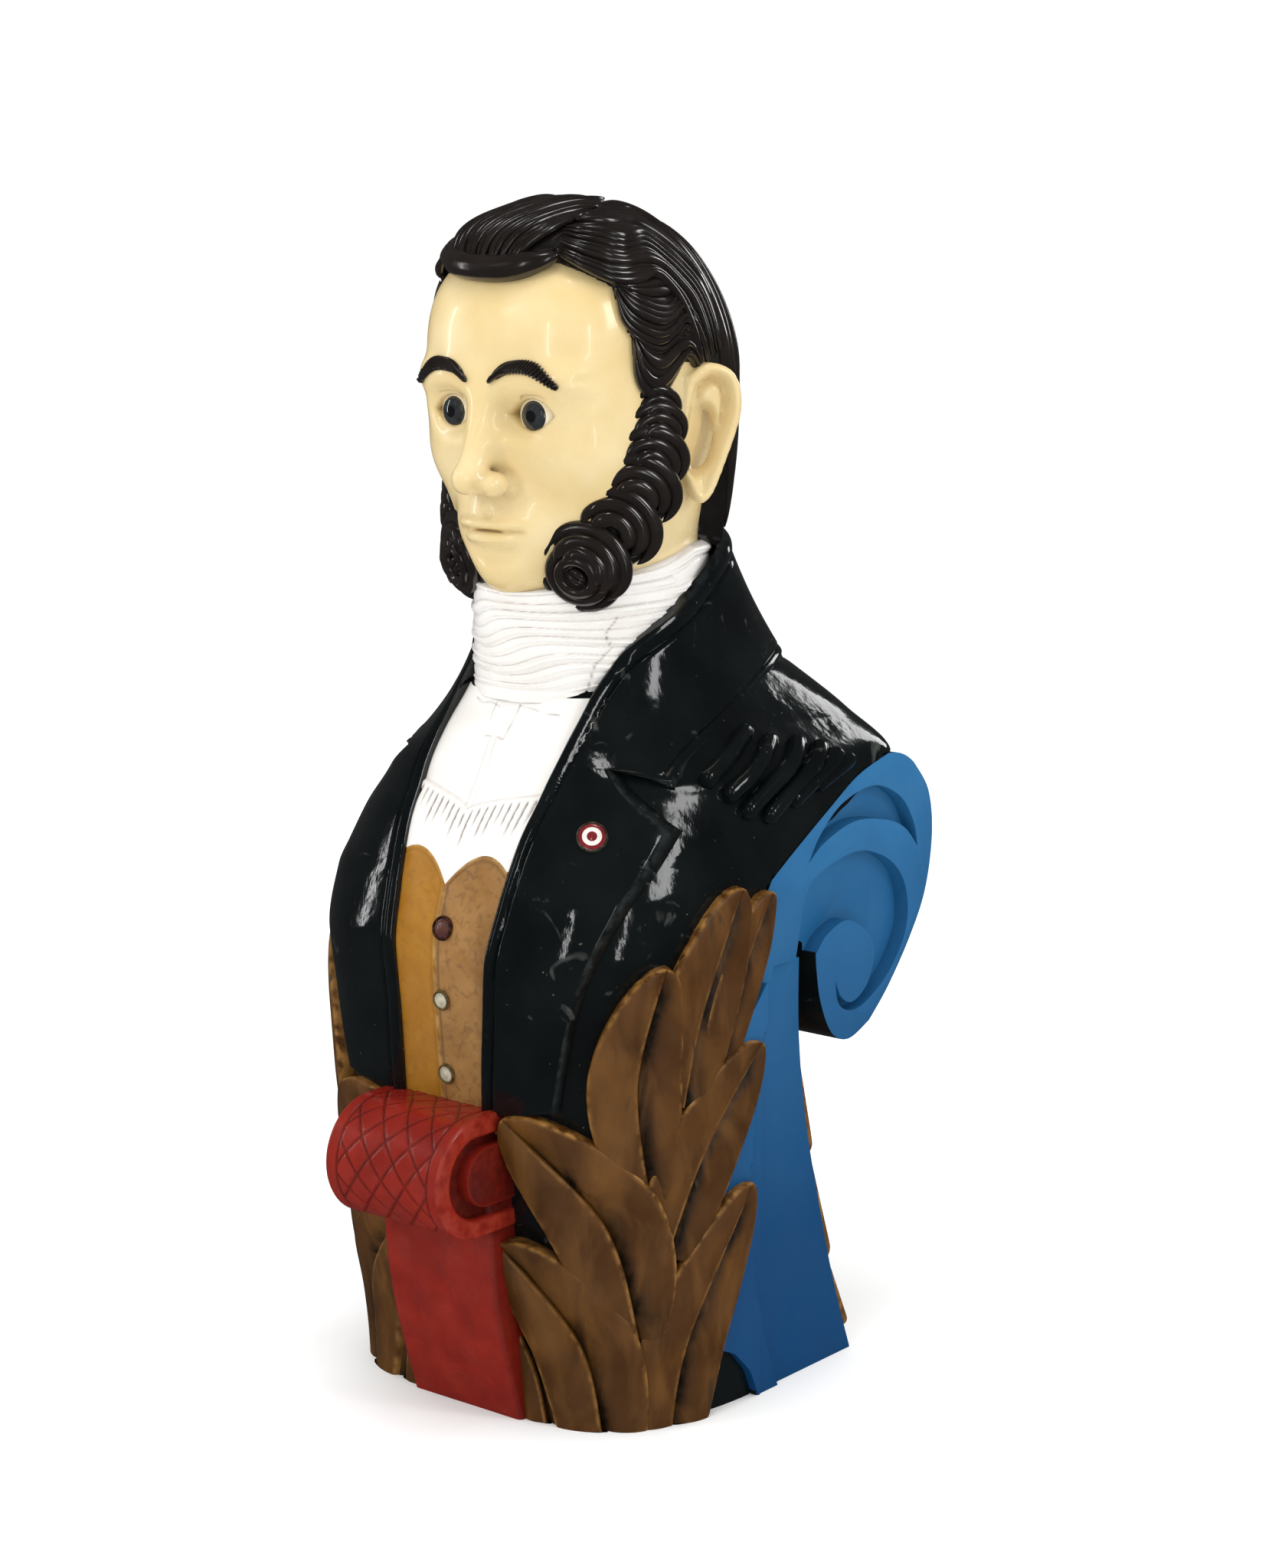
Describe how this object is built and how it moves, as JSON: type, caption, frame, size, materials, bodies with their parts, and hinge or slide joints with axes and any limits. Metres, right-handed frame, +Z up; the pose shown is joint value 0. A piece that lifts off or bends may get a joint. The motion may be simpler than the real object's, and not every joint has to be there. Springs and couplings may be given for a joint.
{
  "type": "ship figurehead",
  "caption": "Painted carved wood ship figurehead: bust of a whiskered man in tail coat and cravat on sprays of leaves, with a scroll roll in front and a volute console behind.",
  "frame": {"origin": "on the floor, in the middle of the bounding box's underside", "axes": "+Z up; the figure faces -Y; +X is the figure's left side"},
  "size_m": [0.4536, 0.6217, 1.1963],
  "materials": {
    "coat_black": "high-gloss black paint, scuffed",
    "skin_cream": "glossy cream paint under aged varnish",
    "hair_black": "glossy very dark brown paint",
    "eye_paint": "glossy painted eyes",
    "linen_white": "glossy warm white paint with fine cracks",
    "waistcoat_ochre": "satin ochre and bronze paint",
    "scroll_red": "glossy deep red paint",
    "leaf_bronze": "satin bronze paint with gold edges and dark stains",
    "console_blue": "satin blue paint",
    "button_copper": "dark worn copper",
    "button_brass": "worn brass rim with a pale face",
    "badge_enamel": "dark red and white enamel in a metal rim"
  },
  "bodies": {
    "root": {"bust": "coat_black", "head": "skin_cream", "button_top": "button_copper", "button_middle": "button_brass", "button_bottom": "button_brass", "lapel_badge": "badge_enamel"}
  },
  "joints": []
}
